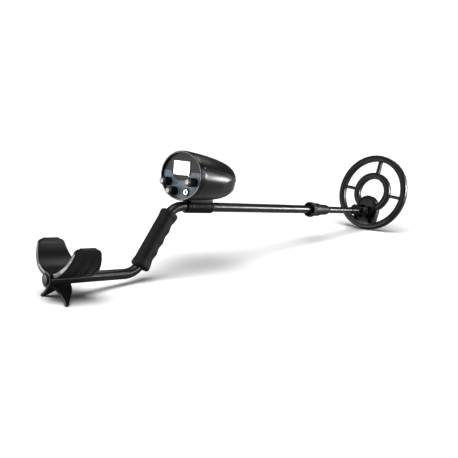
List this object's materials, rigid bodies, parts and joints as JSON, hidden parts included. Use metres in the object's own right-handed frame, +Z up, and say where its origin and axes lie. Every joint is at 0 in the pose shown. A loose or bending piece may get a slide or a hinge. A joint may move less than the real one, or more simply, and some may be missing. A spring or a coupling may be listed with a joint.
{
  "type": "metal detector",
  "caption": "Hand-held ground-search detector: S-bent handle with armrest stand and grip, egg-shaped meter box, telescoping shaft and tilting open-ring search coil.",
  "frame": {"origin": "middle of the bounding box at floor level, with the detector standing on its two stand legs and the lowest edge of its coil", "axes": "+X forward from the armrest to the coil, +Z up from the floor, +Y to the operator's left"},
  "size_m": [1.0024, 0.1985, 0.2373],
  "materials": {
    "battery_case": "printed steel jacket",
    "black_plastic": "moulded black, fine grain",
    "black_tube": "satin black powder coat",
    "board_green": "solder mask",
    "chip_black": "moulded epoxy",
    "clear_window": "clear acrylic",
    "copper": "enamelled copper wire",
    "gloss_black": "moulded black, semi-gloss",
    "grip_rubber": "soft matte rubber",
    "knob_plastic": "fluted black",
    "meter_white": "white",
    "needle_red": "red",
    "nickel": "nickel plate",
    "panel_blue": "printed blue-grey",
    "panel_dark": "printed dark grey",
    "satin_plastic": "moulded black, satin",
    "speaker_cone": "black paper",
    "washer_rubber": "matte",
    "zinc_steel": "zinc plated"
  },
  "bodies": {
    "handle": {"handle_tube": "black_tube", "tube_end_cap": "satin_plastic", "armrest_cradle": "satin_plastic", "armrest_stand": "black_plastic", "armrest_bolt": "zinc_steel", "armrest_nut": "zinc_steel", "hand_grip": "grip_rubber", "shaft_coupling": "black_plastic", "coupling_bush": "black_plastic", "middle_tube": "black_tube", "lock_body": "satin_plastic", "box_bracket": "black_plastic", "bracket_screws": "zinc_steel", "box_shell": "satin_plastic", "face_bezel": "gloss_black", "face_plate": "black_plastic", "control_label": "panel_blue", "meter_surround": "panel_dark", "meter_window": "clear_window", "meter_case": "meter_white", "meter_dial": "meter_white", "meter_movement": "zinc_steel", "control_pots": "nickel", "control_nuts": "nickel", "headphone_socket": "nickel", "socket_nut": "black_plastic", "circuit_board": "board_green", "board_posts": "nickel", "board_screws": "zinc_steel", "board_parts": "chip_black", "speaker": "speaker_cone", "battery_tray": "black_plastic", "batteries": "battery_case", "battery_clips": "black_plastic", "coil_socket": "nickel"},
    "lock_collar": {"lock_collar": "black_plastic"},
    "meter_needle": {"meter_needle": "needle_red"},
    "battery_door": {"battery_door": "satin_plastic"},
    "slide_bush": {"slide_bush": "black_plastic"},
    "lower_rod": {"lower_tube": "black_tube", "rod_end": "satin_plastic", "rod_end_rivet": "black_tube", "pivot_washers": "washer_rubber"},
    "coil": {"coil_shell": "satin_plastic", "coil_base": "black_plastic", "coil_boss_cap": "satin_plastic", "coil_terminal_board": "board_green", "coil_screws": "zinc_steel", "coil_gland": "washer_rubber", "pivot_bolt": "satin_plastic", "transmit_winding": "copper", "receive_winding": "copper"},
    "pivot_knob": {"pivot_knob": "black_plastic"},
    "volume_knob": {"volume_knob": "knob_plastic", "volume_shaft": "nickel"},
    "tuning_knob": {"tuning_knob": "knob_plastic", "tuning_shaft": "nickel"},
    "sensitivity_knob": {"sensitivity_knob": "knob_plastic", "sensitivity_shaft": "nickel"}
  },
  "joints": [
    {"name": "lock_collar_turn", "type": "hinge", "parent": "handle", "child": "lock_collar", "pos_m": [0.23818, 0.00479, 0.07478], "axis": [0.9922, 0, -0.1243], "range_deg": [0, 90]},
    {"name": "rod_telescope", "type": "slide", "parent": "handle", "child": "slide_bush", "axis": [0.9922, 0, -0.1243], "range_m": [-0.08, 0.08]},
    {"name": "rod_twist", "type": "hinge", "parent": "slide_bush", "child": "lower_rod", "pos_m": [0.08934, 0.00479, 0.09343], "axis": [0.9922, 0, -0.1243], "range_deg": [-90, 90]},
    {"name": "coil_tilt", "type": "hinge", "parent": "lower_rod", "child": "coil", "pos_m": [0.42968, 0.00479, 0.05079], "axis": [0.0117, 0.9956, 0.0934], "range_deg": [-80, 80]},
    {"name": "pivot_knob_turn", "type": "hinge", "parent": "coil", "child": "pivot_knob", "pos_m": [0.42991, 0.0247, 0.05266], "axis": [0.0117, 0.9956, 0.0934], "continuous": true},
    {"name": "needle_swing", "type": "hinge", "parent": "handle", "child": "meter_needle", "pos_m": [-0.19426, 0.00929, 0.19396], "axis": [-0.9922, 0, 0.1243], "range_deg": [-38, 38], "stiffness_Nm_per_rad": 0.001},
    {"name": "battery_door_pull", "type": "slide", "parent": "handle", "child": "battery_door", "axis": [0, 1, 0], "range_m": [0, 0.025]},
    {"name": "volume_knob_turn", "type": "hinge", "parent": "handle", "child": "volume_knob", "pos_m": [-0.20563, 0.04179, 0.17643], "axis": [-0.9922, 0, 0.1243], "range_deg": [-140, 140]},
    {"name": "tuning_knob_turn", "type": "hinge", "parent": "handle", "child": "tuning_knob", "pos_m": [-0.20775, 0.02179, 0.15947], "axis": [-0.9922, 0, 0.1243], "range_deg": [-140, 140]},
    {"name": "sensitivity_knob_turn", "type": "hinge", "parent": "handle", "child": "sensitivity_knob", "pos_m": [-0.20517, -0.03221, 0.1801], "axis": [-0.9922, 0, 0.1243], "range_deg": [-140, 140]}
  ]
}
